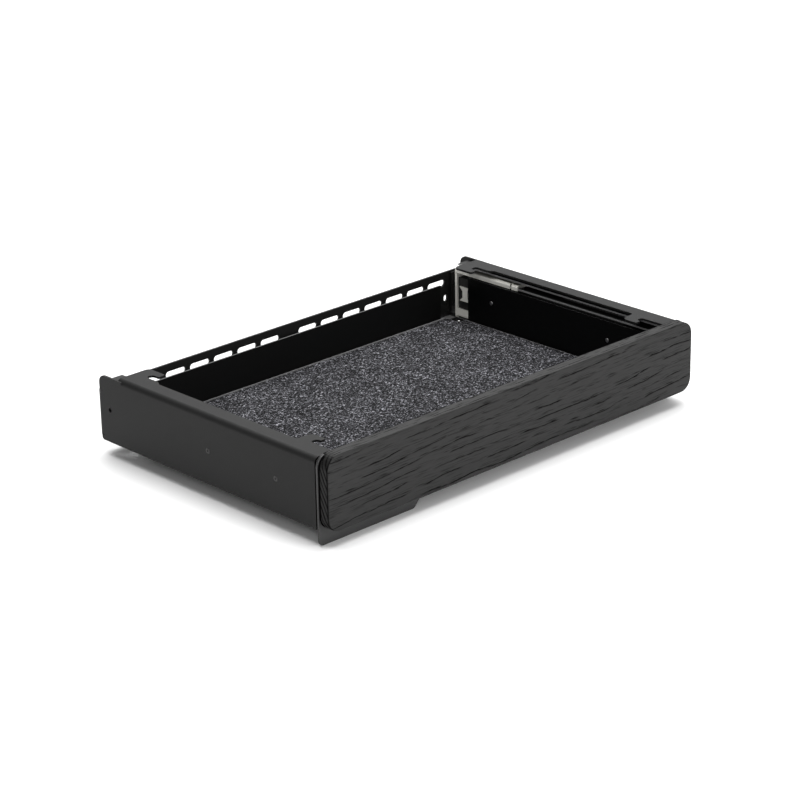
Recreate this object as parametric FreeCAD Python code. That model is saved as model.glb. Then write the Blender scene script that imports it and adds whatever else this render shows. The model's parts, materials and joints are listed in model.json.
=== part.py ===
import FreeCAD, Part
import math
import os

# Slide-out drawer unit that hangs under a monitor riser. Lengths are in millimetres.
# It is drawn with X across the drawer, Y from the brackets' front edge to the rear and
# Z up from their bottom edge. Pieces on the right mirror those on the left. At the end
# everything moves to the centre of the four hook slots, on the brackets' top face.

# Brackets: folded steel, one at each side
bracket_width = 335.0
bracket_height = 47.0
bracket_depth = 210.3
bracket_sheet = 1.5
bracket_bend = 2.3
tail_height = 45.7
tail_corner = 5.5
tail_setback = 1.6
flange_depth = 189.6
flange_edge = 154.5
hook_centre = 149.2
hook_slot = 5.6
front_slot_end = 20.9
rear_slot_end = 178.9
front_finger_edge = 142.2
front_finger_start, front_finger_end = 17.3, 30.2
rear_finger_edge = 140.8
rear_finger_start = 172.8
rear_notch_start, rear_notch_end = 162.0, 166.5
return_edge = 157.0
return_bend = 2.5
return_bottom = 4.0
return_top = 34.5
bracket_inside = bracket_width / 2 - bracket_sheet

# Ball-bearing slides: depths count from the bracket's inner face towards the tray
slide_middle = 22.8
slide_sheet = 1.2
slide_bend = 1.0
outer_start, outer_end = 1.0, 200.0
outer_half, outer_depth = 21.2, 11.0
middle_start, middle_end = 1.0, 138.6
middle_near, middle_far = 2.2, 12.2
middle_half = 16.4
inner_start, inner_end = 1.0, 186.0
inner_near, inner_far = 4.6, 12.7
inner_half = 12.1
cage_sheet = 0.5
cage_margin = 2.4
outer_ball, outer_ball_depth, outer_ball_height = 2.0, 6.0, 18.2
inner_ball, inner_ball_depth, inner_ball_height = 1.8, 8.0, 13.65
ball_clearance = 0.05
ball_pitch = 13.0
first_ball = 42.0
outer_ball_count, inner_ball_count = 5, 7
ball_sides, ball_bands = 6, 4

# Stop housing at the rear of each slide, and the bumper in it
housing_start, housing_end = 139.4, 202.0
housing_end_sheet = 2.0
housing_sheet = 1.0
housing_near, housing_far = 1.2, 12.0
housing_top, housing_bottom, housing_end_bottom = 18.3, -19.4, -20.9
housing_lip = 4.0
housing_slit, housing_slit_foot, housing_slit_width = 145.4, 32.8, 1.6
foot_start, foot_bottom, foot_top = 189.1, 4.7, 10.2
tongue_front, tongue_rear = 188.6, 197.6
tongue_bottom, tongue_top = 16.5, 27.4
tongue_waist, tongue_waist_inset = 189.6, 2.6
tongue_notch, notch_bottom, notch_top = 194.7, 19.1, 24.1
web_front, web_rear = 191.5, 192.5
web_clearance = 0.2
bumper_near, bumper_far = 4.5, 10.6
bumper_front = 187.2
bumper_bottom, bumper_top = 9.0, 33.6
bumper_ribs, bumper_rib_pitch, bumper_groove = 5, 4.4, 1.1

# Tray: folded steel pan with a felt mat
tray_half = 153.3
tray_sheet = 1.2
tray_bend = 1.5
tray_bottom = 1.0
tray_top = 36.7
tray_front, tray_rear = -1.5, 205.2
tray_side_end = 187.0
tray_back_half = 141.0
tray_back_top = 29.5
tray_lap = 25.0
felt_half = 150.4
felt_thickness = 3.0
felt_front, felt_rear = 1.4, 202.4
corner_notch_half, corner_notch_start = 143.0, 187.5
tray_floor_half = 150.0
corner_relief = (147.6, 192.3, 2.3)

# Front: steel plate with a pull lip, and a board of wood on it
plate_half = 168.0
plate_thickness = 1.5
plate_top, plate_bottom = 49.0, -0.5
plate_corner = 8.0
lip_bottom = -10.4
lip_end = -88.3
lip_step = -79.0
wood_half = 167.4
wood_thickness = 8.0
wood_bottom, wood_height = -0.5, 50.0
wood_corner = 9.5
wood_edge = 0.6
plate_face = tray_front - plate_thickness
wood_face = plate_face - wood_thickness

# Slotted plate across the rear
cross_half = 165.5
cross_bottom, cross_top = 0.5, 35.7
cross_sheet = 1.5
cross_slot_length, cross_slot_height = 17.2, 4.9
cross_slot_middle = 27.9
cross_slot_shift = -0.7
cross_first_slot = 17.5
cross_slot_pitch = 21.0
cross_slots_per_side = 7
key_slot_x, key_slot_middle = 152.1, 15.6
key_slot_width, key_slot_height = 3.3, 5.0

# Fasteners: hole radius, head radius and head height
shank_clearance = 0.05
head_rim, head_top = 0.4, 0.7
head_sides = 12
slide_screw = (1.5, 1.9, 0.35)
tray_screw = (1.2, 1.6, 0.7)
front_screw = (2.0, 3.6, 1.6)
cross_rivet = (1.2, 2.0, 0.7)
slide_screw_places = (36.0, 100.0)
spare_hole_place = 198.6
tray_screw_places = (52.0, 163.5)
front_screw_places = (-125.0, -42.0, 42.0, 125.0)
front_screw_height = 24.0
front_screw_length = 8.0
cross_rivet_x = 159.6
cross_rivet_heights = (9.0, 24.5)

across = FreeCAD.Vector(1, 0, 0)
along = FreeCAD.Vector(0, 1, 0)
upward = FreeCAD.Vector(0, 0, 1)
planes = {
    "XY": (across, along, upward),
    "XZ": (across, upward, along),
    "YZ": (along, upward, across),
}


def corner_arc(before, corner, after):
    """Tangent points and middle point of the round that replaces a corner."""
    x, y, radius = corner
    to_before = (before[0] - x, before[1] - y)
    to_after = (after[0] - x, after[1] - y)
    length_before = math.hypot(*to_before)
    length_after = math.hypot(*to_after)
    u = (to_before[0] / length_before, to_before[1] / length_before)
    v = (to_after[0] / length_after, to_after[1] / length_after)
    half = math.acos(max(-1.0, min(1.0, u[0] * v[0] + u[1] * v[1]))) / 2
    reach = radius / math.tan(half)
    bisector = (u[0] + v[0], u[1] + v[1])
    size = math.hypot(*bisector)
    to_middle = radius / math.sin(half) - radius
    start = (x + u[0] * reach, y + u[1] * reach)
    middle = (x + bisector[0] / size * to_middle, y + bisector[1] / size * to_middle)
    end = (x + v[0] * reach, y + v[1] * reach)
    return start, middle, end


def outline_face(corners, plane, level):
    """Flat face with the given (a, b, radius) corners, each rounded by its radius."""
    first, second, normal = planes[plane]

    def point(place):
        return first * place[0] + second * place[1] + normal * level

    stations = []
    for index, corner in enumerate(corners):
        if corner[2] > 0:
            before = corners[index - 1]
            after = corners[(index + 1) % len(corners)]
            stations.append(corner_arc(before, corner, after))
        else:
            stations.append((corner[:2], None, corner[:2]))
    edges = []
    for index, (start, middle, end) in enumerate(stations):
        if middle is not None:
            edges.append(Part.Arc(point(start), point(middle), point(end)).toShape())
        following = stations[(index + 1) % len(stations)][0]
        if math.dist(end, following) > 1e-6:
            edges.append(Part.LineSegment(point(end), point(following)).toShape())
    return Part.Face(Part.Wire(edges))


def prism(corners, plane, start, end):
    """Rounded outline drawn in a plane and extruded square to it, from start to end."""
    return outline_face(corners, plane, start).extrude(planes[plane][2] * (end - start))


def folded(path, thickness):
    """Outline of a sheet bent along path, its right-hand face, with inside bend radii."""
    directions = []
    for (ax, ay, _), (bx, by, _) in zip(path, path[1:]):
        length = math.hypot(bx - ax, by - ay)
        directions.append(((bx - ax) / length, (by - ay) / length))
    near, far = [], []
    for index, (x, y, radius) in enumerate(path):
        before = directions[max(index - 1, 0)]
        after = directions[min(index, len(directions) - 1)]
        facing = 1 + before[0] * after[0] + before[1] * after[1]
        shift_x = -(before[1] + after[1]) * thickness / facing
        shift_y = (before[0] + after[0]) * thickness / facing
        turn = before[0] * after[1] - before[1] * after[0]
        outside = radius + thickness if radius > 0 else 0
        near.append((x, y, outside if turn > 0 else radius))
        far.append((x + shift_x, y + shift_y, radius if turn > 0 else outside))
    return near + far[::-1]


def rod(start, direction, radius, length):
    """Round bar from a start point."""
    return Part.makeCylinder(radius, length, FreeCAD.Vector(*start), direction)


def oblong(middle, size, plane, start, end):
    """Slot with two half-round ends, cut along the larger of its two sizes."""
    first, second, normal = planes[plane]
    width, height = size
    if width < height:
        first, second = second, first
        middle = middle[::-1]
        width, height = height, width
    radius = height / 2
    reach = width / 2 - radius

    def point(x, y):
        return first * (middle[0] + x) + second * (middle[1] + y) + normal * start

    edges = [
        Part.LineSegment(point(-reach, -radius), point(reach, -radius)).toShape(),
        Part.Arc(point(reach, -radius), point(width / 2, 0), point(reach, radius)).toShape(),
        Part.LineSegment(point(reach, radius), point(-reach, radius)).toShape(),
        Part.Arc(point(-reach, radius), point(-width / 2, 0), point(-reach, -radius)).toShape(),
    ]
    return Part.Face(Part.Wire(edges)).extrude(normal * (end - start))


def joined(shapes):
    """One solid from pieces that share faces, without the seams between them."""
    return shapes[0].fuse(shapes[1:]).removeSplitter()


def button(place, direction, sizes, grip):
    """Fastener with a low head that narrows towards its top; its underside is at place."""
    hole, head, height = sizes
    shank = hole - shank_clearance
    outline = [
        (shank, -grip), (shank, 0), (head, 0), (head, height * head_rim),
        (head * head_top, height),
    ]
    rings = []
    for radius, level in outline:
        ring = []
        for index in range(head_sides):
            turn = 2 * math.pi * index / head_sides
            ring.append(FreeCAD.Vector(radius * math.cos(turn), radius * math.sin(turn), level))
        rings.append(ring)
    faces = [Part.Face(Part.makePolygon(ring + ring[:1])) for ring in (rings[0], rings[-1])]
    for lower, upper in zip(rings, rings[1:]):
        for index in range(head_sides):
            corners = [lower[index - 1], lower[index], upper[index], upper[index - 1]]
            faces.append(Part.Face(Part.makePolygon(corners + corners[:1])))
    solid = Part.Solid(Part.Shell(faces))
    solid.Placement = FreeCAD.Placement(FreeCAD.Vector(*place), FreeCAD.Rotation(upward, direction))
    return solid


def slide_place(depth, height):
    """Left-hand X and Z of a point of the slide's section."""
    return -bracket_inside + depth, slide_middle + height


def slide_path(points):
    """Path of (depth, height, bend radius) points as left-hand X, Z and radius."""
    return [slide_place(depth, height) + (radius,) for depth, height, radius in points]


def channel(near, far, top, bottom, sheet, bend):
    """Section of a channel that opens towards the tray."""
    return folded(slide_path([
        (far, top, 0), (near, top, bend), (near, bottom, bend), (far, bottom, 0),
    ]), sheet)


def race(depth, height, ball, start, end):
    """Grooves that a row of balls runs in, above and below the slide's middle."""
    grooves = []
    for level in (height, -height):
        x, z = slide_place(depth, level)
        grooves.append(rod((x, start - 1, z), along, ball + ball_clearance, end - start + 2))
    return grooves


def ball_places(count):
    """Distances from the front at which the balls of a row sit."""
    return [first_ball + ball_pitch * index for index in range(count)]


def screw_holes(places, radius):
    """Round cutters across a left-hand side wall, at the slide's middle height."""
    start = -bracket_width / 2 - 1
    return [rod((start, place, slide_middle), across, radius, 18) for place in places]


def make_bracket():
    """Side plate with a hooked flange folded in at the top and a return at the rear."""
    half = bracket_width / 2
    overlap = flange_edge + 5
    wall = prism(folded([
        (-overlap + 2, bracket_height, 0), (-half, bracket_height, bracket_bend), (-half, 0, 0),
    ], bracket_sheet), "XZ", 0, flange_depth)
    near, far = hook_centre + hook_slot / 2, hook_centre - hook_slot / 2
    round_end = hook_slot / 2
    flange_plan = [
        (overlap, 0, 0), (near, 0, 0.5),
        (near, front_slot_end, round_end), (far, front_slot_end, round_end),
        (far, front_finger_start, 0.6), (front_finger_edge, front_finger_start, 1.5),
        (front_finger_edge, front_finger_end, 5.0), (flange_edge, front_finger_end, 2.5),
        (flange_edge, rear_notch_start, 2.0), (near, rear_notch_end, 2.0),
        (near, rear_slot_end, round_end), (far, rear_slot_end, round_end),
        (far, rear_finger_start, 0.6), (rear_finger_edge, rear_finger_start, 1.5),
        (rear_finger_edge, flange_depth, 3.0), (overlap, flange_depth, 0),
    ]
    flange_plan = [(-x, y, radius) for x, y, radius in flange_plan]
    flange = prism(flange_plan, "XY", bracket_height - bracket_sheet, bracket_height)
    tail_front = flange_depth - 4
    tail_rear = bracket_depth - tail_setback
    bend_start = bracket_depth - bracket_sheet - return_bend
    relief = 1.0
    tail = prism([
        (tail_front, 0, 0), (tail_rear, 0, 2.0), (tail_rear, return_bottom - relief, 0),
        (bend_start, return_bottom - relief, 0), (bend_start, return_top + relief, 0),
        (tail_rear, return_top + relief, 0), (tail_rear, tail_height, tail_corner),
        (tail_front, tail_height, 0),
    ], "YZ", -half, -bracket_inside)
    turned = prism(folded([
        (-half, bend_start - 4, 0), (-half, bracket_depth, return_bend),
        (-return_edge, bracket_depth, 0),
    ], -bracket_sheet), "XY", return_bottom, return_top)
    bracket = joined([wall, flange, tail, turned])
    cutters = screw_holes(slide_screw_places + (spare_hole_place,), slide_screw[0])
    for height in cross_rivet_heights:
        start = (-cross_rivet_x, bracket_depth - 5, height)
        cutters.append(rod(start, along, cross_rivet[0], 10))
    return bracket.cut(cutters)


def make_outer_member():
    """Fixed rail of the slide, screwed to the bracket."""
    section = channel(0, outer_depth, outer_half, -outer_half, slide_sheet, slide_bend)
    rail = prism(section, "XZ", outer_start, outer_end)
    cutters = race(outer_ball_depth, outer_ball_height, outer_ball, outer_start, outer_end)
    cutters += screw_holes(slide_screw_places, slide_screw[0])
    return rail.cut(cutters)


def make_middle_member():
    """Rail that runs between the fixed rail and the tray's rail, with two rows of races."""
    section = channel(middle_near, middle_far, middle_half, -middle_half,
                      slide_sheet, slide_bend)
    rail = prism(section, "XZ", middle_start, middle_end)
    cutters = race(outer_ball_depth, outer_ball_height, outer_ball, middle_start, middle_end)
    cutters += race(inner_ball_depth, inner_ball_height, inner_ball, middle_start, middle_end)
    x, _ = slide_place(0, 0)
    for place in slide_screw_places:
        cutters.append(oblong((place, slide_middle), (14.0, 7.0), "YZ", x + 1, x + 5))
    return rail.cut(cutters)


def make_inner_member():
    """Rail that is screwed to the tray and runs in the middle rail."""
    section = folded(slide_path([
        (inner_near, -inner_half, 0), (inner_far, -inner_half, slide_bend),
        (inner_far, inner_half, slide_bend), (inner_near, inner_half, 0),
    ]), slide_sheet)
    rail = prism(section, "XZ", inner_start, inner_end)
    cutters = race(inner_ball_depth, inner_ball_height, inner_ball, inner_start, inner_end)
    cutters += screw_holes(tray_screw_places, tray_screw[0])
    return rail.cut(cutters)


def make_cage(near, far, depth, height, ball, count):
    """Strip folded to a channel, with a window round each ball of its two rows."""
    half = height + cage_sheet / 2
    section = folded(slide_path([
        (far, half, 0), (near, half, 0.3), (near, -half, 0.3), (far, -half, 0),
    ]), cage_sheet)
    places = ball_places(count)
    cage = prism(section, "XZ", places[0] - cage_margin, places[-1] + cage_margin)
    window = ball + ball_clearance
    x, _ = slide_place(depth, 0)
    cutters = []
    for place in places:
        corner = FreeCAD.Vector(x - window, place - window, slide_middle - half - 1)
        cutters.append(Part.makeBox(2 * window, 2 * window, 2 * half + 2, corner))
    return cage.cut(cutters)


def faceted_ball(radius, centre):
    """Ball with flat facets, whose corners lie on the true sphere."""
    rings = []
    for band in range(ball_bands + 1):
        tilt = math.pi * band / ball_bands
        ring = []
        for step in range(ball_sides):
            turn = 2 * math.pi * step / ball_sides
            ring.append(centre + FreeCAD.Vector(
                radius * math.sin(tilt) * math.cos(turn),
                radius * math.sin(tilt) * math.sin(turn),
                radius * math.cos(tilt),
            ))
        rings.append(ring)
    faces = []
    for band in range(ball_bands):
        for step in range(ball_sides):
            following = (step + 1) % ball_sides
            corners = [rings[band][step], rings[band + 1][step]]
            if band < ball_bands - 1:
                corners.append(rings[band + 1][following])
            if band > 0:
                corners.append(rings[band][following])
            faces.append(Part.Face(Part.makePolygon(corners + corners[:1])))
    return Part.Solid(Part.Shell(faces))


def make_balls(depth, height, ball, count):
    """Steel balls of one cage: a row above and a row below."""
    balls = []
    for level in (height, -height):
        x, z = slide_place(depth, level)
        for place in ball_places(count):
            balls.append(faceted_ball(ball, FreeCAD.Vector(x, place, z)))
    return Part.makeCompound(balls)


def make_housing():
    """Zinc-plated stop housing: a channel closed by an end plate, with a foot and a tongue."""
    section = folded(slide_path([
        (housing_far, housing_top - housing_lip, 0), (housing_far, housing_top, 0.8),
        (housing_near, housing_top, 0.8), (housing_near, housing_bottom, 0.8),
        (housing_far, housing_bottom, 0.8), (housing_far, housing_bottom + housing_lip, 0),
    ]), housing_sheet)
    end_front = housing_end - housing_end_sheet
    body = prism(section, "XZ", housing_start, end_front + 0.5)
    left, _ = slide_place(housing_near, 0)
    right, _ = slide_place(housing_far, 0)
    bottom, top = slide_middle + housing_end_bottom, slide_middle + housing_top
    end = prism([
        (left, bottom, 0.8), (right, bottom, 2.0), (right, top, 3.5), (left, top, 0.8),
    ], "XZ", end_front, housing_end)
    foot = prism([
        (foot_start, foot_bottom, 0), (end_front + 1, foot_bottom, 0),
        (end_front + 1, foot_top, 0), (foot_start, foot_top, 0.8),
    ], "YZ", right - housing_sheet, right)
    tongue = prism([
        (tongue_front, tongue_bottom, 0), (tongue_rear, tongue_bottom, 0),
        (tongue_notch, notch_bottom, 0), (tongue_notch, notch_top, 0),
        (tongue_rear, tongue_top, 0), (tongue_front, tongue_top, 0),
        (tongue_waist, tongue_top - tongue_waist_inset, 0),
        (tongue_waist, tongue_bottom + tongue_waist_inset, 0),
    ], "YZ", right - housing_sheet, right)
    web = prism([
        (left + housing_sheet / 2, web_front, 0), (right - housing_sheet / 2, web_front, 0),
        (right - housing_sheet / 2, web_rear, 0), (left + housing_sheet / 2, web_rear, 0),
    ], "XY", notch_bottom, notch_top)
    housing = joined([body, end, foot, tongue, web])
    slit_end = housing_slit + housing_slit_width
    slit = prism([
        (housing_slit, housing_slit_foot, 0), (slit_end, housing_slit_foot, 0),
        (slit_end, top + 1, 0), (housing_slit, top + 1, 0),
    ], "YZ", right - 6, right + 1)
    return housing.cut([slit])


def make_bumper():
    """Black rubber block that stops the tray's rail, ribbed in front, slotted for the web."""
    left, _ = slide_place(bumper_near, 0)
    right, _ = slide_place(bumper_far, 0)
    rear = housing_end - housing_end_sheet
    block = prism([
        (bumper_front, bumper_bottom, 1.0), (rear, bumper_bottom, 0),
        (rear, bumper_top, 0), (bumper_front, bumper_top, 1.0),
    ], "YZ", left, right)
    cutters = [prism([
        (web_front - web_clearance, notch_bottom - web_clearance, 0),
        (web_rear + web_clearance, notch_bottom - web_clearance, 0),
        (web_rear + web_clearance, notch_top + web_clearance, 0),
        (web_front - web_clearance, notch_top + web_clearance, 0),
    ], "YZ", left - 1, right + 1)]
    middle = (bumper_bottom + bumper_top) / 2
    for index in range(bumper_ribs):
        height = middle + (index - (bumper_ribs - 1) / 2) * bumper_rib_pitch
        start = (left - 1, bumper_front - bumper_groove / 3, height)
        cutters.append(rod(start, across, bumper_groove, right - left + 2))
    return block.cut(cutters)


def make_tray():
    """Pan folded from one sheet: floor, two sides, front and a lower rear wall."""
    sides = prism(folded([
        (-tray_half, tray_top, 0), (-tray_half, tray_bottom, tray_bend),
        (tray_half, tray_bottom, tray_bend), (tray_half, tray_top, 0),
    ], tray_sheet), "XZ", tray_front + tray_sheet + tray_bend, tray_side_end)
    front_half = tray_half - tray_sheet - tray_bend
    front = prism(folded([
        (tray_front, tray_top, 0), (tray_front, tray_bottom, tray_bend),
        (tray_front + tray_lap, tray_bottom, 0),
    ], tray_sheet), "YZ", -front_half, front_half)
    rear = prism(folded([
        (tray_rear - tray_lap, tray_bottom, 0), (tray_rear, tray_bottom, tray_bend),
        (tray_rear, tray_back_top, 0),
    ], tray_sheet), "YZ", -tray_back_half, tray_back_half)
    floor_rear = tray_rear - tray_sheet - tray_bend
    floor = prism([
        (-tray_floor_half, tray_side_end - 1, 0), (tray_floor_half, tray_side_end - 1, 0),
        (tray_floor_half, floor_rear, 1.0), (-tray_floor_half, floor_rear, 1.0),
    ], "XY", tray_bottom, tray_bottom + tray_sheet)
    relief_centre, relief_place, relief_radius = corner_relief
    cutters = []
    for side in (-1, 1):
        start = (side * relief_centre, relief_place, tray_bottom - 1)
        cutters.append(rod(start, upward, relief_radius, tray_sheet + 2))
    for place in tray_screw_places:
        start = (-tray_half - 1, place, slide_middle)
        cutters.append(rod(start, across, tray_screw[0], 2 * tray_half + 2))
    for place in front_screw_places:
        start = (place, tray_front - 1, front_screw_height)
        cutters.append(rod(start, along, front_screw[0], 4))
    return joined([sides, front, rear, floor]).cut(cutters)


def make_front_plate():
    """Steel plate that covers the brackets' ends, with a pull lip at its lower left."""
    plate = prism([
        (-plate_half, plate_top, plate_corner), (-plate_half, lip_bottom, 3.5),
        (lip_end, lip_bottom, 3.0), (lip_step, plate_bottom, 3.0),
        (plate_half, plate_bottom, plate_corner), (plate_half, plate_top, plate_corner),
    ], "XZ", plate_face, tray_front)
    cutters = []
    for place in front_screw_places:
        start = (place, plate_face - 1, front_screw_height)
        cutters.append(rod(start, along, front_screw[0], 4))
    return plate.cut(cutters)


def make_front_wood():
    """Board of oak with rounded corners and eased front edges, drilled for screws."""
    top = wood_bottom + wood_height
    board = prism([
        (-wood_half, wood_bottom, wood_corner), (wood_half, wood_bottom, wood_corner),
        (wood_half, top, wood_corner), (-wood_half, top, wood_corner),
    ], "XZ", wood_face, plate_face)
    front_edges = []
    for edge in board.Edges:
        if abs(edge.BoundBox.YMax - wood_face) < 1e-4:
            front_edges.append(edge)
    board = board.makeChamfer(wood_edge, front_edges)
    depth = front_screw_length - tray_sheet - plate_thickness
    cutters = []
    for place in front_screw_places:
        start = (place, plate_face - depth, front_screw_height)
        cutters.append(rod(start, along, front_screw[0], depth + 1))
    return board.cut(cutters)


def make_felt_mat():
    """Plain mat on the tray's floor, notched at the rear corners."""
    floor = tray_bottom + tray_sheet
    half, notch_half, notch_start = felt_half, corner_notch_half, corner_notch_start
    return prism([
        (-half, felt_front, 2.0), (half, felt_front, 2.0), (half, notch_start, 2.0),
        (notch_half, notch_start, 1.0), (notch_half, felt_rear, 2.0),
        (-notch_half, felt_rear, 2.0), (-notch_half, notch_start, 1.0), (-half, notch_start, 2.0),
    ], "XY", floor, floor + felt_thickness)


def make_cross_plate():
    """Plate across the rear with a row of oblong slots and a key slot at each end."""
    front = bracket_depth
    rear = front + cross_sheet
    plate = prism([
        (-cross_half, cross_bottom, 2.0), (cross_half, cross_bottom, 2.0),
        (cross_half, cross_top, 2.5), (-cross_half, cross_top, 2.5),
    ], "XZ", front, rear)
    cutters = []
    for side in (-1, 1):
        for index in range(cross_slots_per_side):
            middle = side * (cross_first_slot + cross_slot_pitch * index) + cross_slot_shift
            cutters.append(oblong((middle, cross_slot_middle),
                                  (cross_slot_length, cross_slot_height),
                                  "XZ", front - 1, rear + 1))
        cutters.append(oblong((side * key_slot_x, key_slot_middle),
                              (key_slot_width, key_slot_height), "XZ", front - 1, rear + 1))
        for height in cross_rivet_heights:
            start = (side * cross_rivet_x, front - 1, height)
            cutters.append(rod(start, along, cross_rivet[0], 4))
    return plate.cut(cutters)


def make_slide_screws():
    """Screws that hold the fixed rails to the brackets, driven from outside."""
    grip = bracket_sheet + slide_sheet
    screws = []
    for side in (-1, 1):
        for place in slide_screw_places:
            head = (side * bracket_width / 2, place, slide_middle)
            screws.append(button(head, across * side, slide_screw, grip))
    return Part.makeCompound(screws)


def make_tray_screws():
    """Screws that hold the tray's rails, driven from inside the tray."""
    grip = tray_sheet + slide_sheet
    screws = []
    for side in (-1, 1):
        for place in tray_screw_places:
            head = (side * (tray_half - tray_sheet), place, slide_middle)
            screws.append(button(head, across * -side, tray_screw, grip))
    return Part.makeCompound(screws)


def make_front_screws():
    """Screws from inside the tray, through its front and the plate, into the wood."""
    screws = []
    for place in front_screw_places:
        head = (place, tray_front + tray_sheet, front_screw_height)
        screws.append(button(head, along, front_screw, front_screw_length))
    return Part.makeCompound(screws)


def make_cross_rivets():
    """Rivets that hold the rear plate to the brackets' returns."""
    grip = bracket_sheet + cross_sheet
    rivets = []
    for side in (-1, 1):
        for height in cross_rivet_heights:
            head = (side * cross_rivet_x, bracket_depth + cross_sheet, height)
            rivets.append(button(head, along, cross_rivet, grip))
    return Part.makeCompound(rivets)


def make_parts():
    """Every node by name, in the drafting frame."""
    parts = {
        "tray": make_tray(),
        "front_plate": make_front_plate(),
        "front_wood": make_front_wood(),
        "felt_mat": make_felt_mat(),
        "rear_cross_plate": make_cross_plate(),
        "slide_screws": make_slide_screws(),
        "tray_rail_screws": make_tray_screws(),
        "front_screws": make_front_screws(),
        "cross_plate_rivets": make_cross_rivets(),
    }
    outer_row = (outer_ball_depth, outer_ball_height, outer_ball, outer_ball_count)
    inner_row = (inner_ball_depth, inner_ball_height, inner_ball, inner_ball_count)
    sided = {
        "bracket": make_bracket(),
        "slide_outer": make_outer_member(),
        "slide_middle": make_middle_member(),
        "slide_inner": make_inner_member(),
        "outer_cage": make_cage(1.4, 9.0, *outer_row),
        "outer_balls": make_balls(*outer_row),
        "inner_cage": make_cage(3.7, 10.6, *inner_row),
        "inner_balls": make_balls(*inner_row),
        "stop_housing": make_housing(),
        "stop_bumper": make_bumper(),
    }
    for name, shape in sided.items():
        parts[name + "_left"] = shape
        parts[name + "_right"] = shape.mirror(FreeCAD.Vector(0, 0, 0), across)
    return parts


os.makedirs("parts", exist_ok=True)
slot_radius = hook_slot / 2
pattern_middle = (front_slot_end + rear_slot_end) / 2 - slot_radius
origin = FreeCAD.Vector(0, pattern_middle, bracket_height)
for name, shape in make_parts().items():
    placed = shape.copy()
    placed.translate(-origin)
    solids = placed.Solids
    volume = sum(solid.Volume for solid in solids)
    print("%-22s %2d solids, valid %s, %8.1f mm3" % (name, len(solids), placed.isValid(), volume))
    placed.exportStep("parts/%s.step" % name)
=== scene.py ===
import json
import math

import bmesh
import bpy
from mathutils import Matrix, Vector, noise

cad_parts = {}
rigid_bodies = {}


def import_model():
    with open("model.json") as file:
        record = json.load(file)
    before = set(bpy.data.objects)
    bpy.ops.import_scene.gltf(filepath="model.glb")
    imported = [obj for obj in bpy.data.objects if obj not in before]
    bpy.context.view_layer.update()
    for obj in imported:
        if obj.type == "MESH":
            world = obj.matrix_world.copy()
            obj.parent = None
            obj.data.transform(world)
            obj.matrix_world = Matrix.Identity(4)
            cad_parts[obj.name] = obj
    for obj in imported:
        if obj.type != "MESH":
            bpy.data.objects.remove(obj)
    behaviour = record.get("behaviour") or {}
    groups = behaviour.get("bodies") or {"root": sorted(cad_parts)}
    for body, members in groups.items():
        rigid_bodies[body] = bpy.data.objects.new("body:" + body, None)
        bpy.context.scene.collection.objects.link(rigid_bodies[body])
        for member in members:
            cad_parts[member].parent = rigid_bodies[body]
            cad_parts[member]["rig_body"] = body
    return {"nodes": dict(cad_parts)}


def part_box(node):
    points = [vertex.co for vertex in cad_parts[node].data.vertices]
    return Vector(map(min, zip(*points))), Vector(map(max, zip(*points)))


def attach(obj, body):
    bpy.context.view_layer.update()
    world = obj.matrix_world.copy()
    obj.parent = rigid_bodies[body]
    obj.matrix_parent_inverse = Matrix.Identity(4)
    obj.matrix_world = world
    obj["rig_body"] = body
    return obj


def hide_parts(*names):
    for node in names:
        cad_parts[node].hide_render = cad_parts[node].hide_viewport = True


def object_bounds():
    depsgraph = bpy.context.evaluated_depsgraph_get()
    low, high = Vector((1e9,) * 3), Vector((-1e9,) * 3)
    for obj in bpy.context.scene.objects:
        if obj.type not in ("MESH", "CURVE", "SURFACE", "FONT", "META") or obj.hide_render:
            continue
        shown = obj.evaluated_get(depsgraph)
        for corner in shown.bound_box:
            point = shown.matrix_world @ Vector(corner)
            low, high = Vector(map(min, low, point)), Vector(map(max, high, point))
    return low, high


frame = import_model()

cad_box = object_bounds()
mm = 0.001

# The view: a long lens above the left front corner, so far off that edges hardly converge.
camera_place = Vector((-1.1381, -1.1923, 0.6134))
camera_yaw, camera_pitch, camera_roll = 43.58, 21.54, 1.07
camera_data = bpy.data.cameras.new("camera")
camera_data.sensor_width = 36.0
camera_data.lens = 119.46
camera_data.clip_start, camera_data.clip_end = 0.1, 20.0
camera = bpy.data.objects.new("camera", camera_data)
bpy.context.collection.objects.link(camera)
turn = Matrix.Rotation(math.radians(-camera_yaw), 4, "Z")
tip = Matrix.Rotation(math.radians(90 - camera_pitch), 4, "X")
roll = Matrix.Rotation(math.radians(-camera_roll), 4, "Z")
camera.matrix_world = Matrix.Translation(camera_place) @ turn @ tip @ roll
bpy.context.scene.camera = camera


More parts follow.
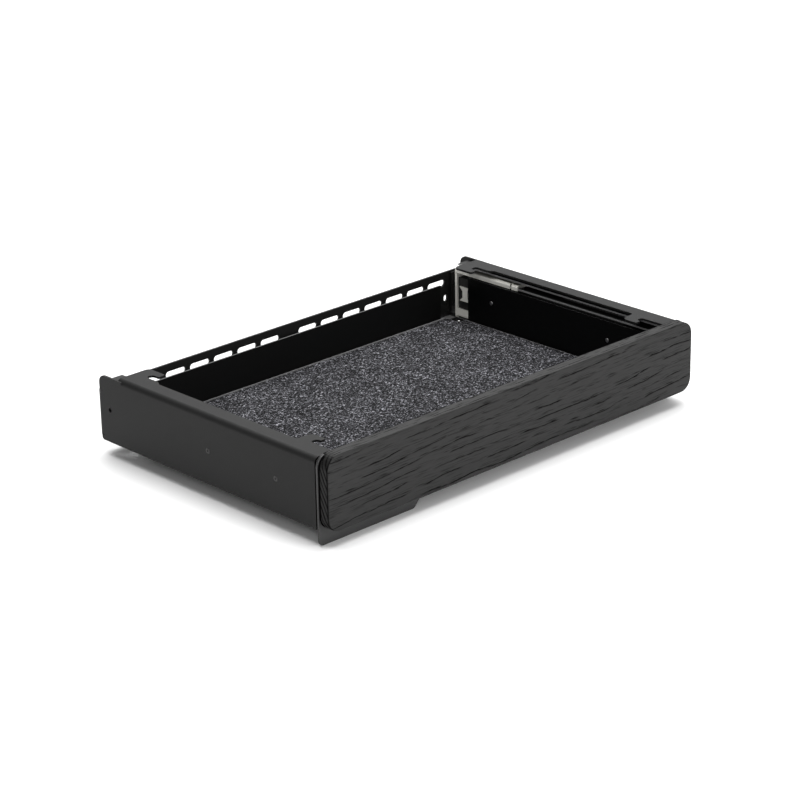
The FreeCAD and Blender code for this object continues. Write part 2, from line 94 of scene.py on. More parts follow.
# White table and light tent. The floor is pale and plain. Light comes from all round, from
# a large soft lamp overhead, from one behind that gleams on the level faces, and from two
# weak ones at the front. Materials are built from wires.
class Wire:
    """An output socket. Sums and products of wires add the Math nodes that work them out."""

    def __init__(self, tree, socket=None):
        self.tree = tree
        self.socket = socket

    def feed(self, node, sockets):
        """Link wires to a node's sockets, and set plain values on them."""
        for name, value in sockets.items():
            if isinstance(value, Wire):
                self.tree.links.new(value.socket, node.inputs[name])
            else:
                node.inputs[name].default_value = value

    def node(self, kind, settings, sockets, output=0):
        """Add a node: its settings first, then the values or wires of its sockets."""
        made = self.tree.nodes.new(kind)
        for name, value in settings.items():
            if name == "stops":
                while len(made.color_ramp.elements) < len(value):
                    made.color_ramp.elements.new(0.5)
                for stop, (place, tone) in zip(made.color_ramp.elements, value):
                    stop.position = place
                    stop.color = (tone, tone, tone, 1.0)
            else:
                setattr(made, name, value)
        self.feed(made, sockets)
        return Wire(self.tree, made.outputs[output])

    def maths(self, operation, first, second):
        return self.node("ShaderNodeMath", {"operation": operation}, {0: first, 1: second})

    def __add__(self, other):
        return self.maths("ADD", self, other)

    def __sub__(self, other):
        return self.maths("SUBTRACT", self, other)

    def __rsub__(self, other):
        return self.maths("SUBTRACT", other, self)

    def __mul__(self, other):
        return self.maths("MULTIPLY", self, other)

    __radd__ = __add__
    __rmul__ = __mul__


def new_finish(name):
    """Empty material, a wire to build it with, and the wire of the piece's own coordinates."""
    material = bpy.data.materials.new(name)
    material.use_nodes = True
    wire = Wire(material.node_tree)
    return material, wire, wire.node("ShaderNodeTexCoord", {}, {}, "Object")


def set_finish(material, wire, sockets):
    """Plug what was built into the material's surface."""
    wire.feed(material.node_tree.nodes["Principled BSDF"], sockets)


def grey(tone):
    """Neutral colour with its alpha."""
    return (tone, tone, tone, 1.0)


floor_reach, floor_gap = 6.0, 0.2 * mm
floor_mesh = bmesh.new()
bmesh.ops.create_grid(floor_mesh, x_segments=1, y_segments=1, size=floor_reach)
bmesh.ops.translate(floor_mesh, verts=floor_mesh.verts, vec=(0, 0, cad_box[0][2] - floor_gap))
floor_data = bpy.data.meshes.new("floor")
floor_mesh.to_mesh(floor_data)
floor = bpy.data.objects.new("floor", floor_data)
bpy.context.collection.objects.link(floor)
floor_white, wire, place = new_finish("floor_white")
cloud = wire.node("ShaderNodeTexNoise", {}, {"Vector": place, "Scale": 2.0})
set_finish(floor_white, wire, {
    "Base Color": wire.node("ShaderNodeMix", {"data_type": "RGBA"},
                            {0: cloud, 6: grey(0.88), 7: grey(0.9)}, 2),
    "Roughness": 0.9,
    "Specular IOR Level": 0.1,
})
floor_data.materials.append(floor_white)

tent = bpy.data.worlds.new("light_tent")
tent.use_nodes = True
tent.node_tree.nodes["Background"].inputs["Color"].default_value = grey(1.0)
tent.node_tree.nodes["Background"].inputs["Strength"].default_value = 0.16
bpy.context.scene.world = tent
bpy.context.scene.view_settings.view_transform = "Standard"


def soft_lamp(name, place, width, power):
    """Square lamp that faces the object's middle, with its power in watts."""
    lamp_data = bpy.data.lights.new(name, "AREA")
    lamp_data.size = width
    lamp_data.energy = power
    lamp = bpy.data.objects.new(name, lamp_data)
    bpy.context.collection.objects.link(lamp)
    aim = Vector(place).to_track_quat("Z", "Y")
    lamp.matrix_world = Matrix.Translation(place) @ aim.to_matrix().to_4x4()


soft_lamp("lamp_overhead", (0.4, 0.3, 2.4), width=2.8, power=135.0)
soft_lamp("lamp_backdrop", (2.2, 2.3, 1.15), width=1.8, power=16.0)
soft_lamp("lamp_front", (0.5, -1.7, 0.45), width=1.0, power=20.0)
soft_lamp("lamp_front_left", (-0.75, -0.6, 0.4), width=0.4, power=2.0)


# Brackets: the two sides that hang under the riser's board. Each is laser-cut and folded
# from 1.5 mm steel, with two hooks in its top flange, and powder coated in fine matt black.
# The coat rounds every cut edge a little. The rounded edges that face up get a paler coat, a
# painted highlight for the light they catch.
weld = 1e-6
flat_angle = math.radians(1.0)
cut_edge_angle = math.radians(32.0)
lit_lean = 0.3
coat_slot, painted_light_slot, shaded_slot = 0, 1, 2


def new_piece(name, mesh, material, body):
    """Object made of a bmesh, in a finish, that rides on a body."""
    data = bpy.data.meshes.new(name)
    mesh.to_mesh(data)
    mesh.free()
    data.materials.append(material)
    piece = bpy.data.objects.new(name, data)
    bpy.context.collection.objects.link(piece)
    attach(piece, body)
    return piece


def softened(node, edge, material, painted_light_material):
    """Copy of a metal part in its place, with its cut edges rounded by edge metres.

    Rounded edges that face up, as far as their normals lean up by lit_lean, get the second
    material. It is painted light: a paler or darker colour for how the light falls on them.
    """
    source = frame["nodes"][node]
    mesh = bmesh.new()
    mesh.from_mesh(source.data)
    bmesh.ops.remove_doubles(mesh, verts=mesh.verts, dist=weld)
    bmesh.ops.dissolve_limit(mesh, angle_limit=flat_angle, verts=mesh.verts, edges=mesh.edges)
    cut_edges = [e for e in mesh.edges if e.calc_face_angle(0.0) > cut_edge_angle]
    rounded = bmesh.ops.bevel(mesh, geom=cut_edges, offset=edge, offset_type="OFFSET", segments=2,
                              profile=0.5, affect="EDGES", clamp_overlap=True, material=-1)
    for face in rounded["faces"]:
        if face.normal.z > lit_lean:
            face.material_index = painted_light_slot
    for face in mesh.faces:
        face.smooth = True
    piece = new_piece(node + "_softened", mesh, material, source["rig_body"])
    piece.data.materials.append(painted_light_material)
    weighted = piece.modifiers.new("even_shading", "WEIGHTED_NORMAL")
    weighted.keep_sharp = True
    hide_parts(node)
    return piece


def powder_coat(name, tone, roughness, shine, peel_size=0.9 * mm):
    """Baked powder: matt, with a fine orange peel and a faint cloudiness."""
    material, wire, place = new_finish(name)
    peel = wire.node("ShaderNodeTexNoise", {},
                     {"Vector": place, "Scale": 1 / peel_size, "Detail": 2.0})
    grit = wire.node("ShaderNodeTexNoise", {},
                     {"Vector": place, "Scale": 5 / peel_size, "Detail": 1.0})
    cloud = wire.node("ShaderNodeTexNoise", {}, {"Vector": place, "Scale": 14.0, "Detail": 3.0})
    colour = wire.node("ShaderNodeMix", {"data_type": "RGBA"},
                       {0: cloud, 6: grey(tone * 0.85), 7: grey(tone * 1.15)}, 2)
    relief = wire.node("ShaderNodeBump", {},
                       {"Height": peel + grit * 0.4, "Strength": 0.5, "Distance": 0.06 * mm})
    set_finish(material, wire, {
        "Base Color": colour,
        "Roughness": (grit - 0.5) * 0.15 + roughness,
        "Specular IOR Level": shine,
        "Normal": relief,
    })
    return material


# Coats of the faces; a paler coat that paints a highlight on the rounded edges that face up;
# and a darker coat that paints shade on the ends and on the bend that faces +X.
bracket_coat = powder_coat("bracket_powder_coat", tone=0.011, roughness=0.5, shine=0.14)
painted_highlight_coat = powder_coat("painted_highlight_powder_coat", tone=0.11, roughness=0.35, shine=0.6)
shaded_coat = powder_coat("shaded_powder_coat", tone=0.003, roughness=0.7, shine=0.05)
bracket_round, edge_reach = 0.35 * mm, 0.5 * mm
bend_reach, bend_lean = 2.4 * mm, 0.35
for side in ("left", "right"):
    piece = softened("bracket_" + side, bracket_round, bracket_coat, painted_highlight_coat)
    piece.data.materials.append(shaded_coat)
    low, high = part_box("bracket_" + side)
    # Faces near the front and rear ends, and on the top bend where it faces +X, get the shaded
    # coat: painted shade.
    for face in piece.data.polygons:
        at_end = not low.y + edge_reach < face.center.y < high.y - edge_reach
        on_bend = face.normal.x > bend_lean and face.center.z > high.z - bend_reach
        if at_end or on_bend:
            face.material_index = shaded_slot


# Rear plate: a strip of 1.5 mm steel that ties the two brackets together behind the tray.
# Its oblong slots and key slots are punched. Its black powder coat is set darker than the
# brackets', painted shade. A small dark tab at each end, beside the tray at the level of its
# floor, is painted shade too: it hides floor that would lie in shadow there.
def add_tabs(piece, tabs, bottom, thickness):
    """Add the same tabs on both sides. Each is x near and far, y front and rear, in mm."""
    mesh = bmesh.new()
    mesh.from_mesh(piece.data)
    for near, far, front, rear in tabs:
        size = Vector(((far - near) * mm, (rear - front) * mm, thickness))
        for side in (-1, 1):
            middle = Vector((side * (near + far) / 2 * mm, (front + rear) / 2 * mm,
                             bottom + thickness / 2))
            bmesh.ops.create_cube(mesh, size=1.0, matrix=Matrix.Translation(middle)
                                  @ Matrix.Diagonal((*size, 1.0)))
    mesh.to_mesh(piece.data)
    mesh.free()


rear_plate_coat = powder_coat("rear_plate_powder_coat", tone=0.006, roughness=0.5, shine=0.18)
rear_plate_round = 0.3 * mm
rear_plate = softened("rear_cross_plate", rear_plate_round, rear_plate_coat, painted_highlight_coat)
tray_sheet = 1.2 * mm
tray_low, tray_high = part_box("tray")
# Dark tabs that paint the shade of the floor under the rear corners.
plate_shade_tabs = [(154.8, 160.0, 103.5, 112.9)]
add_tabs(rear_plate, plate_shade_tabs, tray_low.z, tray_sheet)


# Rivets: four pop rivets that hold the rear plate to the brackets' returns. Their heads
# are domed, with the small hole in the middle that the pulled pin leaves.
def ring(mesh, radius, height, segments):
    """Edges of a level circle about the Z axis."""
    made = bmesh.ops.create_circle(mesh, radius=radius, segments=segments, cap_ends=False,
                                   matrix=Matrix.Translation((0, 0, height)))
    edges = set()
    for vert in made["verts"]:
        edges.update(vert.link_edges)
    return list(edges)


def turned(mesh, profile, segments):
    """Skin through circles of the given (radius, height), open at its first circle."""
    rings = [ring(mesh, radius, height, segments) for radius, height in profile]
    for lower, upper in zip(rings, rings[1:]):
        bmesh.ops.bridge_loops(mesh, edges=lower + upper)
    return rings


def dome(radius, height, steps):
    """Quarter of an ellipse, from a head's rim towards its middle."""
    angles = [math.pi / 2 * 0.75 * step / steps for step in range(steps + 1)]
    return [(radius * math.cos(a), height * math.sin(a)) for a in angles]


def placed(shape, places, direction):
    """One bmesh with a copy of shape at every place, its Z axis turned to direction."""
    data = bpy.data.meshes.new("pattern")
    shape.to_mesh(data)
    shape.free()
    group = bmesh.new()
    turn_to = Vector(direction).to_track_quat("Z", "X").to_matrix().to_4x4()
    for place in places:
        before = len(group.verts)
        group.from_mesh(data)
        group.verts.ensure_lookup_table()
        fresh = group.verts[before:]
        bmesh.ops.transform(group, matrix=Matrix.Translation(place) @ turn_to, verts=fresh)
    bpy.data.meshes.remove(data)
    return group


def joined(groups):
    """One bmesh out of several."""
    whole = bmesh.new()
    for group in groups:
        data = bpy.data.meshes.new("group")
        group.to_mesh(data)
        group.free()
        whole.from_mesh(data)
        bpy.data.meshes.remove(data)
    return whole


def head_steel(name, tone, metallic, roughness):
    """Plated fastener, with fine turning marks round its head and a little dirt."""
    material, wire, place = new_finish(name)
    marks = wire.node("ShaderNodeTexNoise", {},
                      {"Vector": place, "Scale": 2600.0, "Detail": 2.0})
    colour = wire.node("ShaderNodeMix", {"data_type": "RGBA"},
                       {0: marks, 6: grey(tone * 0.8), 7: grey(tone * 1.2)}, 2)
    set_finish(material, wire, {
        "Base Color": colour,
        "Metallic": metallic,
        "Roughness": marks * 0.2 + roughness,
        "Normal": wire.node("ShaderNodeBump", {},
                            {"Height": marks, "Strength": 0.3, "Distance": 0.02 * mm}),
    })
    return material


black_screw = head_steel("black_zinc_screw", tone=0.009, metallic=0.0, roughness=0.4)
bright_screw = head_steel("bright_zinc_screw", tone=0.3, metallic=1.0, roughness=0.2)
rivet_hole, rivet_shank, rivet_head = 0.6 * mm, 1.2 * mm, 2.0 * mm
rivet_rise, rivet_grip, rivet_sides = 0.7 * mm, 1.4 * mm, 20
rivet = bmesh.new()
rivet_profile = [(rivet_shank, -rivet_grip), (rivet_shank, 0.0)]
rivet_profile += dome(rivet_head, rivet_rise, 5)
rivet_profile += [(rivet_hole, rivet_rise * 0.9), (rivet_hole * 0.9, -rivet_rise)]
rivet_rings = turned(rivet, rivet_profile, rivet_sides)
bmesh.ops.holes_fill(rivet, edges=rivet_rings[0] + rivet_rings[-1], sides=rivet_sides)
bmesh.ops.recalc_face_normals(rivet, faces=rivet.faces)
low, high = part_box("cross_plate_rivets")
rivet_face = high.y - rivet_rise
rivet_places = []
for x in (low.x + rivet_head, high.x - rivet_head):
    for z in (low.z + rivet_head, high.z - rivet_head):
        rivet_places.append((x, rivet_face, z))
rivets = new_piece("pop_rivets", placed(rivet, rivet_places, (0, 1, 0)), black_screw,
                   "frame")
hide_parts("cross_plate_rivets")


# Ball-bearing slides: three rolled steel rails a side, black coated, with races in their
# edges. The fixed rail is screwed to the bracket, the middle rail runs between the two,
# and the narrow rail is screwed to the tray.
def rolled_steel(name, tone, roughness):
    """Black coated strip that was rolled along Y, which leaves faint lines that way."""
    material, wire, place = new_finish(name)
    along = wire.node("ShaderNodeMapping", {}, {"Vector": place, "Scale": (1500.0, 40.0, 1500.0)})
    lines = wire.node("ShaderNodeTexNoise", {}, {"Vector": along, "Scale": 1.0, "Detail": 3.0})
    colour = wire.node("ShaderNodeMix", {"data_type": "RGBA"},
                       {0: lines, 6: grey(tone * 0.7), 7: grey(tone * 1.3)}, 2)
    set_finish(material, wire, {
        "Base Color": colour,
        "Metallic": 0.3,
        "Roughness": lines * 0.2 + roughness,
        "Normal": wire.node("ShaderNodeBump", {},
                            {"Height": lines, "Strength": 0.4, "Distance": 0.02 * mm}),
    })
    return material


slide_black = rolled_steel("slide_black", tone=0.004, roughness=0.45)
# The second, grey coat paints a highlight on the rails' edges: on the outer and middle rails' cut
# edges at their tray side, and on the rounded edges that face up.
slide_painted_highlight = rolled_steel("slide_painted_highlight", tone=0.26, roughness=0.3)
rail_round, rail_edge_reach = 0.12 * mm, 0.2 * mm
for side in ("left", "right"):
    for rail in ("slide_outer_", "slide_middle_", "slide_inner_"):
        piece = softened(rail + side, rail_round, slide_black, slide_painted_highlight)
        low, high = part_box(rail + side)
        tray_side = high.x if side == "left" else low.x
        for face in piece.data.polygons:
            if abs(face.center.x - tray_side) < rail_edge_reach and rail != "slide_inner_":
                face.material_index = painted_light_slot


# Ball cages: thin plated strips, dark, that space the balls. The balls are
# hardened chrome steel. A cage travels half as far as the rail that rolls on its balls.
def plated_steel(name, light, dark, metallic, roughness):
    """Plated strip: a mottle between two colours, and faint rolling lines along Y."""
    material, wire, place = new_finish(name)
    along = wire.node("ShaderNodeMapping", {}, {"Vector": place, "Scale": (900.0, 60.0, 900.0)})
    lines = wire.node("ShaderNodeTexNoise", {}, {"Vector": along, "Scale": 1.0, "Detail": 3.0})
    mottle = wire.node("ShaderNodeTexNoise", {}, {"Vector": place, "Scale": 260.0, "Detail": 3.0})
    colour = wire.node("ShaderNodeMix", {"data_type": "RGBA"},
                       {0: mottle, 6: dark, 7: light}, 2)
    set_finish(material, wire, {
        "Base Color": colour,
        "Metallic": metallic,
        "Roughness": lines * 0.2 + roughness,
        "Normal": wire.node("ShaderNodeBump", {},
                            {"Height": lines + mottle, "Strength": 0.3, "Distance": 0.02 * mm}),
    })
    return material


cage_steel = plated_steel("cage_steel", grey(0.1), grey(0.04), metallic=0.75, roughness=0.4)
ball_chrome = head_steel("ball_chrome", tone=0.4, metallic=1.0, roughness=0.08)
cage_round = 0.05 * mm
ball_pitch, ball_fit = 13.0 * mm, 0.99
for side in ("left", "right"):
    for row, radius in (("outer", 2.0 * mm), ("inner", 1.8 * mm)):
        softened(row + "_cage_" + side, cage_round, cage_steel, cage_steel)
        node = row + "_balls_" + side
        low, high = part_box(node)
        x = (low.x + high.x) / 2
        count = round((high.y - low.y) / ball_pitch) + 1
        middle = (low.y + high.y) / 2
        balls = bmesh.new()
        for z in (low.z + radius, high.z - radius):
            for index in range(count):
                y = middle + (index - (count - 1) / 2) * ball_pitch
                bmesh.ops.create_icosphere(balls, subdivisions=3, radius=radius * ball_fit,
                                           matrix=Matrix.Translation((x, y, z)))
        for face in balls.faces:
            face.smooth = True
        piece = new_piece(node + "_round", balls, ball_chrome,
                          frame["nodes"][node]["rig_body"])
        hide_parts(node)


# Slide screws: two a side, driven from outside through the bracket into the fixed rail.
# Their heads are nearly flush and black like the coat, with a small cross recess.
recess_taper, recess_depth, screw_sides = 0.55, 0.9, 24


def cross_head(radius, rise, recess, grip, shank):
    """Domed screw head on a short shank, with a tapered cross recess."""
    screw = bmesh.new()
    bmesh.ops.create_grid(screw, x_segments=3, y_segments=3, size=recess,
                          matrix=Matrix.Translation((0, 0, rise)))
    corners = []
    for face in screw.faces:
        middle = face.calc_center_median()
        if abs(middle.x) > recess / 2 and abs(middle.y) > recess / 2:
            corners.append(face)
    bmesh.ops.delete(screw, geom=corners, context="FACES")
    floor_faces = bmesh.ops.extrude_face_region(screw, geom=list(screw.faces))["geom"]
    sunk = [item for item in floor_faces if isinstance(item, bmesh.types.BMVert)]
    old_faces = [face for face in screw.faces if all(v not in sunk for v in face.verts)]
    bmesh.ops.delete(screw, geom=old_faces, context="FACES")
    bmesh.ops.scale(screw, vec=(recess_taper, recess_taper, 1.0), verts=sunk)
    bmesh.ops.translate(screw, vec=(0, 0, -recess * recess_depth), verts=sunk)
    rim = [edge for edge in screw.edges if edge.is_boundary]
    profile = dome(radius, rise, 4)[::-1] + [(shank, 0.0), (shank, -grip)]
    rings = turned(screw, profile, screw_sides)
    bmesh.ops.bridge_loops(screw, edges=rim + rings[0])
    bmesh.ops.holes_fill(screw, edges=rings[-1], sides=screw_sides)
    bmesh.ops.recalc_face_normals(screw, faces=screw.faces)
    return screw


def side_screws(name, node, sides, sizes, material, body):
    """Two heads on each side wall, where the CAD screws are, of the sizes of cross_head."""
    low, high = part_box(node)
    radius = sizes["radius"]
    z = (low.z + high.z) / 2
    groups = []
    for x, direction in sides:
        screw = cross_head(**sizes)
        places = [(x, y, z) for y in (low.y + radius, high.y - radius)]
        groups.append(placed(screw, places, (direction, 0, 0)))
    piece = new_piece(name, joined(groups), material, body)
    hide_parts(node)


low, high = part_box("slide_screws")
flush_rise = 0.35 * mm
slide_screw_sizes = {"radius": 1.9 * mm, "rise": flush_rise, "recess": 0.8 * mm,
                     "grip": 2.6 * mm, "shank": 1.45 * mm}
side_screws("slide_screws_cross", "slide_screws",
            [(low.x + flush_rise, -1), (high.x - flush_rise, 1)],
            slide_screw_sizes, black_screw, "frame")


# Stop housings: folded, zinc-plated caps at the slides' rear ends. A waisted tongue and a
# foot face the tray, and each holds a black rubber block that ends the tray's travel.
def rubber(name):
    """Moulded rubber: black and dull, with a fine grain."""
    material, wire, place = new_finish(name)
    grain = wire.node("ShaderNodeTexNoise", {}, {"Vector": place, "Scale": 2400.0, "Detail": 2.0})
    colour = wire.node("ShaderNodeMix", {"data_type": "RGBA"},
                       {0: grain, 6: grey(0.006), 7: grey(0.014)}, 2)
    set_finish(material, wire, {
        "Base Color": colour,
        "Roughness": grain * 0.15 + 0.6,
        "Normal": wire.node("ShaderNodeBump", {},
                            {"Height": grain, "Strength": 0.4, "Distance": 0.05 * mm}),
    })
    return material


pale_zinc, pale_mottle = (0.95, 0.94, 0.88, 1.0), (0.8, 0.79, 0.73, 1.0)
# The second zinc, darker and more metallic, goes on the faces that look up: painted shade that
# keeps the tops, under the overhead lamp, from looking paler than the rest.
top_shade_zinc, top_shade_mottle = (0.7, 0.69, 0.64, 1.0), (0.5, 0.49, 0.45, 1.0)
housing_zinc = plated_steel("housing_zinc", pale_zinc, pale_mottle, metallic=0.1, roughness=0.42)
top_painted_shade_zinc = plated_steel("top_painted_shade_zinc", top_shade_zinc, top_shade_mottle, metallic=0.75, roughness=0.42)
bumper_black = rubber("bumper_rubber")
housing_round, bumper_round = 0.15 * mm, 0.25 * mm
level_lean = 0.5
for side in ("left", "right"):
    piece = softened("stop_housing_" + side, housing_round, housing_zinc, top_painted_shade_zinc)
    for face in piece.data.polygons:
        if face.normal.z > level_lean:
            face.material_index = painted_light_slot
    softened("stop_bumper_" + side, bumper_round, bumper_black, bumper_black)


# Tray: a pan folded from 1.2 mm steel, powder coated black inside and out. Its rear wall
# is lower than its sides. Its corners are closed by small laps of the sheet. Four bright
# screws hold it to the slides' narrow rails.
# The tray's coat is set far darker than the brackets' black: painted shade for its shaded inside.
tray_coat = powder_coat("tray_powder_coat", tone=0.002, roughness=0.5, shine=0.12,
                        peel_size=0.8 * mm)
tray_round = 0.25 * mm
tray = softened("tray", tray_round, tray_coat, painted_highlight_coat)
floor_laps = [(149.5, 154.6, 90.4, 97.2), (149.5, 154.6, 100.8, 105.0),
              (153.4, 154.6, 97.2, 100.8), (141.5, 154.6, 105.0, 111.4)]
add_tabs(tray, floor_laps, tray_low.z, tray_sheet)
wall_laps = [(152.2, 153.2, -97.6, -95.7)]
lap_bottom, lap_top = tray_low.z + 0.2 * mm, tray_high.z - 0.1 * mm
add_tabs(tray, wall_laps, lap_bottom, lap_top - lap_bottom)
wall_reach = 3.0 * mm
# Rounded edges near the front get the plain coat; the rear wall's top edges that face up get the
# painted highlight.
for face in tray.data.polygons:
    if face.center.y < tray_low.y + wall_reach:
        face.material_index = coat_slot
    if face.center.y > tray_high.y - wall_reach and face.normal.z > lit_lean:
        face.material_index = painted_light_slot
tray_screw_sizes = {"radius": 1.6 * mm, "rise": 0.7 * mm, "recess": 0.7 * mm,
                    "grip": 2.3 * mm, "shank": 1.15 * mm}
side_screws("tray_screws_cross", "tray_rail_screws",
            [(tray_low.x + tray_sheet, 1), (tray_high.x - tray_sheet, -1)],
            tray_screw_sizes, bright_screw, "drawer")


# Felt mat: 3 mm needled felt of grey and black wool, cut to the tray's floor with notched
# rear corners and laid in loose. A pale band along its rear and side rims is a painted
# highlight where the cut rim catches the light; a vertex attribute marks it.
def sliced(mesh, faces, axis, start, end, step):
    """Cut faces into strips by planes square to an axis."""
    normal = Vector((0, 0, 0))
    normal[axis] = 1.0
    count = int((end - start) / step)
    live = set(faces)
    for index in range(1, count):
        level = normal * (start + (end - start) * index / count)
        geometry = list(live)
        geometry += list({e for f in live for e in f.edges})
        geometry += list({v for f in live for v in f.verts})
        made = bmesh.ops.bisect_plane(mesh, geom=geometry, plane_co=level, plane_no=normal,
                                      dist=1e-7)
        live = {item for item in made["geom"] if isinstance(item, bmesh.types.BMFace)}
    return live


felt_low, felt_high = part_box("felt_mat")
felt_rim = 0.7 * mm
felt_highlight_band = 1.6 * mm
felt_step = 1.6 * mm
felt_relief = 0.22 * mm
lump_size, fleck_size = 2.6, 1.1
mat = bmesh.new()
mat.from_mesh(frame["nodes"]["felt_mat"].data)
bmesh.ops.remove_doubles(mat, verts=mat.verts, dist=weld)
bmesh.ops.dissolve_limit(mat, angle_limit=flat_angle, verts=mat.verts, edges=mat.edges)
top_rim = [e for e in mat.edges if min(v.co.z for v in e.verts) > felt_high.z - weld]
bmesh.ops.bevel(mat, geom=top_rim, offset=felt_rim, offset_type="OFFSET", segments=3,
                profile=0.5, affect="EDGES", material=-1)
bmesh.ops.recalc_face_normals(mat, faces=mat.faces)
shown = [f for f in mat.faces if f.normal.z > -0.5]
shown = sliced(mat, shown, 0, felt_low.x, felt_high.x, felt_step)
shown = sliced(mat, shown, 1, felt_low.y, felt_high.y, felt_step)
mat.normal_update()
rim_highlight_layer = mat.verts.layers.float.new("border")
for vert in mat.verts:
    side_inset = min(felt_high.x - vert.co.x, vert.co.x - felt_low.x) + felt_highlight_band / 2
    inset = min(felt_high.y - vert.co.y, side_inset)
    vert[rim_highlight_layer] = min(max(1.5 - inset / felt_highlight_band, 0.0), 1.0)
    if vert.co.z > felt_low.z + weld:
        spot = vert.co / mm
        lumps = noise.noise(spot / lump_size) + 0.6 * noise.noise(spot / fleck_size)
        vert.co -= vert.normal * felt_relief * (0.8 - 0.5 * lumps)
for face in mat.faces:
    face.smooth = True


def wool_felt(name):
    """Needled wool: light and dark fibres that lie in all directions."""
    material, wire, place = new_finish(name)
    fibres = None
    for angle in (0.3, 1.35, 2.4):
        laid = wire.node("ShaderNodeMapping", {}, {
            "Vector": place, "Rotation": (0.0, 0.0, angle), "Scale": (640.0, 1500.0, 1200.0)})
        strand = wire.node("ShaderNodeTexNoise", {},
                           {"Vector": laid, "Scale": 1.0, "Detail": 2.0, "Distortion": 0.6})
        fibres = strand if fibres is None else fibres.maths("MAXIMUM", fibres, strand)
    tufts = wire.node("ShaderNodeTexNoise", {}, {"Vector": place, "Scale": 820.0, "Detail": 3.0})
    cloud = wire.node("ShaderNodeTexNoise", {}, {"Vector": place, "Scale": 45.0, "Detail": 3.0})
    border = wire.node("ShaderNodeAttribute", {"attribute_name": "border"}, {}, "Fac")
    mix = fibres * 0.6 + tufts * 0.4 + (cloud - 0.5) * 0.05
    shade = wire.node("ShaderNodeValToRGB", {"stops": [
        (0.49, 0.003), (0.55, 0.016), (0.6, 0.076), (0.655, 0.31), (0.72, 0.7)]}, {"Fac": mix})
    tint = wire.node("ShaderNodeMix", {"data_type": "RGBA", "blend_type": "MULTIPLY"},
                     {0: 1.0, 6: shade, 7: (0.95, 0.95, 1.04, 1.0)}, 2)
    # Plain pale grey along the marked rim: painted highlight.
    rim_highlighted = wire.node("ShaderNodeMix", {"data_type": "RGBA"},
                      {0: border, 6: tint, 7: grey(0.17)}, 2)
    set_finish(material, wire, {
        "Base Color": rim_highlighted,
        "Roughness": 0.95,
        "Specular IOR Level": 0.1,
        "Normal": wire.node("ShaderNodeBump", {},
                            {"Height": mix, "Strength": 0.8, "Distance": 0.5 * mm}),
    })
    return material


felt = new_piece("felt_mat_needled", mat, wool_felt("grey_wool_felt"), "drawer")
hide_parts("felt_mat")


# Front plate: 1.5 mm steel that covers the brackets' ends and backs the wood. A lip for
# the fingers stands out below at the left. It is powder coated black like the brackets.
plate_coat = powder_coat("front_plate_powder_coat", tone=0.03, roughness=0.45, shine=0.3)
plate_round = 0.35 * mm
plate = softened("front_plate", plate_round, plate_coat, painted_highlight_coat)
plate.data.materials.append(shaded_coat)
plate_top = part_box("front_plate")[1].z
# The plate's top faces get the shaded coat: painted shade.
for face in plate.data.polygons:
    if face.center.z > plate_top - edge_reach:
        face.material_index = shaded_slot


# Front board: 8 mm open-pored oak, stained black, with rounded corners and eased edges.
# The pores run along it in broken lines and stay darker and deeper than the wood between.
board_low, board_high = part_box("front_wood")
board_size = board_high - board_low
board_middle = (board_low + board_high) / 2
board_corner = 9.5 * mm
board_edge = 0.6 * mm
board_step_along, board_step_across = 1.7 * mm, 0.28 * mm
pore_depth = 0.24 * mm
# Growth rings: how many mm apart, how steep through the board and along it, and how many mm
# they drift over which wave lengths.
ring_spacing, ring_tilt, ring_rise = 6.2, 2.2, 0.035
ring_drifts = [(4.5, (110, 40, 30)), (1.1, (30, 9, 8))]
# Short pores and hairlines: their wave lengths, and how open they are beside a long pore's 1.
dash_lengths, hair_lengths = (9, 0.7, 0.45), (14, 0.6, 0.5)
dash_strength, hair_strength = 0.65, 0.35
hair_shift = 560


def smooth_step(low_end, high_end, value):
    """Rise from 0 at low_end to 1 at high_end, level at both. It falls if high_end is lower."""
    share = min(max((value - low_end) / (high_end - low_end), 0.0), 1.0)
    return share * share * (3 - 2 * share)


def waves(x, y, z, lengths):
    """Smooth noise from about -1 to 1, with a wave length in mm along each axis."""
    return noise.noise(Vector((x / lengths[0], y / lengths[1], z / lengths[2])))


def pores(place, facing):
    """How much of an open pore there is at a place in the board, from 0 to 1."""
    x, y, z = (place - board_middle) / mm
    drift = sum(reach * waves(x, y, z, lengths) for reach, lengths in ring_drifts)
    ring_place = (z - ring_tilt * y - ring_rise * x + drift) / ring_spacing
    number = round(ring_place)
    # One long pore follows each ring, wanders off it a little and breaks off in places.
    wander = 0.7 * noise.noise(Vector((x / 13, number * 1.7, 3.0)))
    wander += 0.3 * noise.noise(Vector((x / 4, number * 1.3, 5.0)))
    away = (ring_place - number) * ring_spacing - wander
    run = smooth_step(-0.1, 0.1, noise.noise(Vector((x / 34, number * 2.3, 0.0))))
    width = 0.3 + 0.3 * noise.noise(Vector((x / 4, number * 3.1, 9.0)))
    long_pore = run * smooth_step(width * 1.4, width * 0.4, abs(away))
    # Short pores lie beside the long one, and hairlines all over.
    dashes = smooth_step(0.22, 0.5, waves(x, y, z, dash_lengths))
    short_pore = dash_strength * smooth_step(2.2, 0.6, abs(away - 1.0)) * dashes
    hair = hair_strength * smooth_step(0.2, 0.55, waves(x + hair_shift, y, z, hair_lengths))
    side_grain = min(1.0, long_pore + short_pore + hair)
    # The ends show the rings as bands, and are darker near the front and back; near the back that
    # is painted shade, the shadow in the gap against the plate.
    end_rim_dark = smooth_step(2.6, 2.9, y) + smooth_step(2.8, 3.9, -y)
    end_grain = 0.25 + 0.75 * smooth_step(width * 4.0, width * 1.5, abs(away)) + end_rim_dark
    end_share = smooth_step(0.3, 0.65, abs(facing.x))
    return side_grain + (min(1.0, end_grain) - side_grain) * end_share


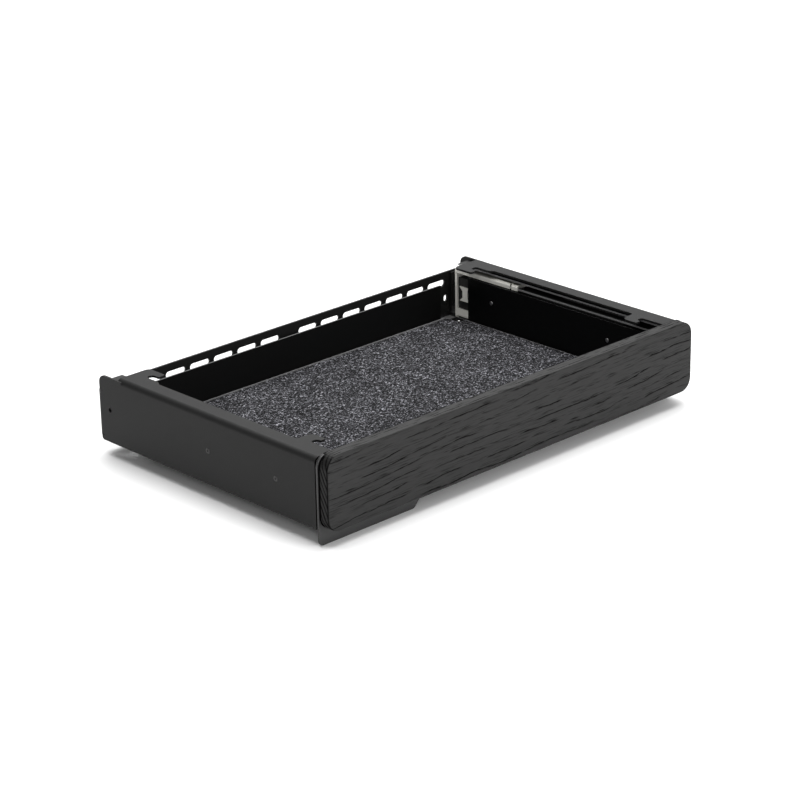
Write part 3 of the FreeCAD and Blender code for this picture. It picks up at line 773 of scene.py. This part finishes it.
board = bmesh.new()
bmesh.ops.create_cube(board, size=1.0, matrix=Matrix.Translation(board_middle)
                      @ Matrix.Diagonal((*board_size, 1.0)))
through = [e for e in board.edges if abs(e.verts[0].co.y - e.verts[1].co.y) > board_size.y / 2]
bmesh.ops.bevel(board, geom=through, offset=board_corner, offset_type="OFFSET", segments=8,
                profile=0.5, affect="EDGES", material=-1)
face_rim = [e for e in board.edges if max(v.co.y for v in e.verts) < board_low.y + weld]
bmesh.ops.bevel(board, geom=face_rim, offset=board_edge, offset_type="OFFSET", segments=3,
                profile=0.5, affect="EDGES", material=-1)
bmesh.ops.recalc_face_normals(board, faces=board.faces)
shown = [f for f in board.faces if f.normal.y < 0.5]
shown = sliced(board, shown, 2, board_low.z, board_high.z, board_step_across)
shown = sliced(board, shown, 0, board_low.x, board_high.x, board_step_along)
shown = sliced(board, shown, 1, board_low.y, board_high.y, board_step_across * 1.5)
board.normal_update()
pore_layer = board.verts.layers.float.new("pore")
for vert in board.verts:
    share = pores(vert.co, vert.normal)
    vert[pore_layer] = share
    if vert.co.y < board_high.y - weld:
        vert.co -= vert.normal * pore_depth * share
for face in board.faces:
    face.smooth = True


def black_oak(name):
    """Stained oak: the pore attribute darkens it, and finer fibres run along X."""
    material, wire, place = new_finish(name)
    pore = wire.node("ShaderNodeAttribute", {"attribute_name": "pore"}, {}, "Fac")
    along = wire.node("ShaderNodeMapping", {}, {"Vector": place, "Scale": (60.0, 900.0, 1500.0)})
    fibres = wire.node("ShaderNodeTexNoise", {}, {"Vector": along, "Scale": 1.0, "Detail": 4.0})
    broad = wire.node("ShaderNodeMapping", {}, {"Vector": place, "Scale": (9.0, 120.0, 160.0)})
    bands = wire.node("ShaderNodeTexNoise", {}, {"Vector": broad, "Scale": 1.0, "Detail": 3.0})
    tone = fibres * 0.6 + bands * 0.4
    wood = wire.node("ShaderNodeMix", {"data_type": "RGBA"}, {
        0: tone, 6: (0.003, 0.0029, 0.0029, 1.0), 7: (0.02, 0.0197, 0.0194, 1.0)}, 2)
    relief = wire.node("ShaderNodeBump", {}, {
        "Height": fibres - pore, "Strength": 0.5, "Distance": 0.08 * mm})
    set_finish(material, wire, {
        "Base Color": wood,
        "Roughness": fibres * 0.1 + 0.45,
        "Specular IOR Level": 0.2,
        "Normal": relief,
    })
    nodes = material.node_tree.nodes
    surface = Wire(material.node_tree, nodes["Principled BSDF"].outputs[0])
    depth = wire.node("ShaderNodeBsdfPrincipled", {}, {
        "Base Color": grey(0.002), "Roughness": 1.0, "Specular IOR Level": 0.0})
    mixed = wire.node("ShaderNodeMixShader", {}, {0: pore, 1: surface, 2: depth})
    wire.feed(nodes["Material Output"], {"Surface": mixed})
    return material


oak = new_piece("front_wood_grained", board, black_oak("black_stained_oak"), "drawer")
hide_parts("front_wood")


# Front screws: four pan-head screws from inside the tray, through its front and the plate,
# into the board.
front_head, front_rise, front_inner = 3.6 * mm, 1.6 * mm, 42.0 * mm
low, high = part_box("front_screws")
front_x = [low.x + front_head, -front_inner, front_inner, high.x - front_head]
front_places = [(x, high.y - front_rise, (low.z + high.z) / 2) for x in front_x]
front_screw = cross_head(front_head, front_rise, recess=1.7 * mm, grip=6.0 * mm,
                         shank=1.95 * mm)
front = placed(front_screw, front_places, (0, 1, 0))
front_screws = new_piece("front_screws_cross", front, black_screw, "drawer")
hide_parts("front_screws")
